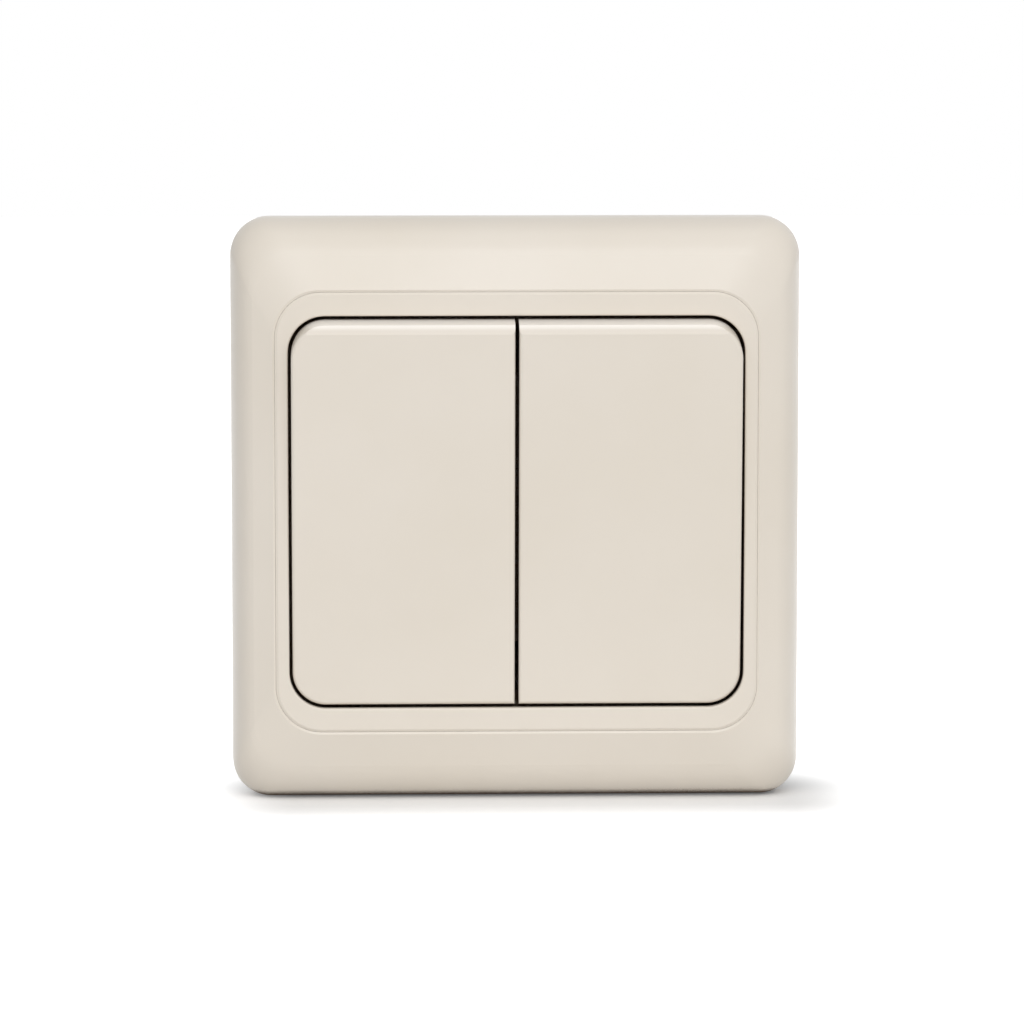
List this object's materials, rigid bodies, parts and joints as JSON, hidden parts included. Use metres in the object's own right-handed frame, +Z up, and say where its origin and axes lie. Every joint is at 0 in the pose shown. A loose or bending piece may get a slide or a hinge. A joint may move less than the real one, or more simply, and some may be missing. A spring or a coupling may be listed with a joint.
{
  "type": "two-gang light switch",
  "caption": "Flush-mounted double rocker light switch with a square cover frame, a trim ring, and a screw-and-claw mechanism behind its plate.",
  "frame": {"origin": "centre of the support plate's wall face, midway between the two wall-box screw slots", "axes": "+X to the right seen from the front, +Y into the wall, +Z up"},
  "size_m": [0.08, 0.0365, 0.082],
  "materials": {
    "cream_plastic": "satin-gloss moulding",
    "grey_plastic": "matt moulding",
    "black_plastic": "matt moulding",
    "white_plastic": "smooth moulding",
    "plated_steel": "zinc plated",
    "plated_screw": "yellow zinc plated",
    "spring_steel": "drawn wire",
    "copper": "stamped copper",
    "silver": "silver rivet"
  },
  "bodies": {
    "base": {"cover_frame": "cream_plastic", "trim_ring": "cream_plastic", "support_plate": "plated_steel", "mechanism_cover": "grey_plastic", "housing": "grey_plastic", "assembly_screws": "plated_screw", "common_strip": "copper", "output_strip_left": "copper", "output_strip_right": "copper", "fixed_contacts": "silver", "clamp_plates": "plated_steel", "terminal_screws": "plated_screw"},
    "left_rocker": {"rocker_left": "cream_plastic", "cradle_left": "black_plastic", "plunger_left": "white_plastic", "spring_left": "spring_steel"},
    "left_arm": {"contact_arm_left": "copper", "moving_contact_left": "silver"},
    "left_claw": {"claw_left": "plated_steel"},
    "left_claw_screw": {"claw_screw_left": "plated_screw"},
    "right_rocker": {"rocker_right": "cream_plastic", "cradle_right": "black_plastic", "plunger_right": "white_plastic", "spring_right": "spring_steel"},
    "right_arm": {"contact_arm_right": "copper", "moving_contact_right": "silver"},
    "right_claw": {"claw_right": "plated_steel"},
    "right_claw_screw": {"claw_screw_right": "plated_screw"}
  },
  "joints": [
    {"name": "rocker_left", "type": "hinge", "parent": "base", "child": "left_rocker", "pos_m": [-0.01, -0.006, 0], "axis": [1, 0, 0], "range_deg": [-8, 0]},
    {"name": "contact_arm_left", "type": "hinge", "parent": "base", "child": "left_arm", "pos_m": [-0.01, 0.00985, 0], "axis": [1, 0, 0], "range_deg": [0, 15]},
    {"name": "claw_left", "type": "hinge", "parent": "base", "child": "left_claw", "pos_m": [-0.0221, 0.0042, 0], "axis": [0, 0, 1], "range_deg": [0, 18]},
    {"name": "claw_screw_left", "type": "hinge", "parent": "base", "child": "left_claw_screw", "pos_m": [-0.0242, 0, 0], "axis": [0, 1, 0], "range_deg": [0, 475.5]},
    {"name": "rocker_right", "type": "hinge", "parent": "base", "child": "right_rocker", "pos_m": [0.01, -0.006, 0], "axis": [1, 0, 0], "range_deg": [-8, 0]},
    {"name": "contact_arm_right", "type": "hinge", "parent": "base", "child": "right_arm", "pos_m": [0.01, 0.00985, 0], "axis": [1, 0, 0], "range_deg": [0, 15]},
    {"name": "claw_right", "type": "hinge", "parent": "base", "child": "right_claw", "pos_m": [0.0221, 0.0042, 0], "axis": [0, 0, -1], "range_deg": [0, 18]},
    {"name": "claw_screw_right", "type": "hinge", "parent": "base", "child": "right_claw_screw", "pos_m": [0.0242, 0, 0], "axis": [0, 1, 0], "range_deg": [0, 475.5]}
  ],
  "couplings": [
    {"joint": "contact_arm_left", "follows": "rocker_left", "ratio": -1.875},
    {"joint": "claw_screw_left", "follows": "claw_left", "ratio": 26.389},
    {"joint": "contact_arm_right", "follows": "rocker_right", "ratio": -1.875},
    {"joint": "claw_screw_right", "follows": "claw_right", "ratio": 26.389}
  ]
}
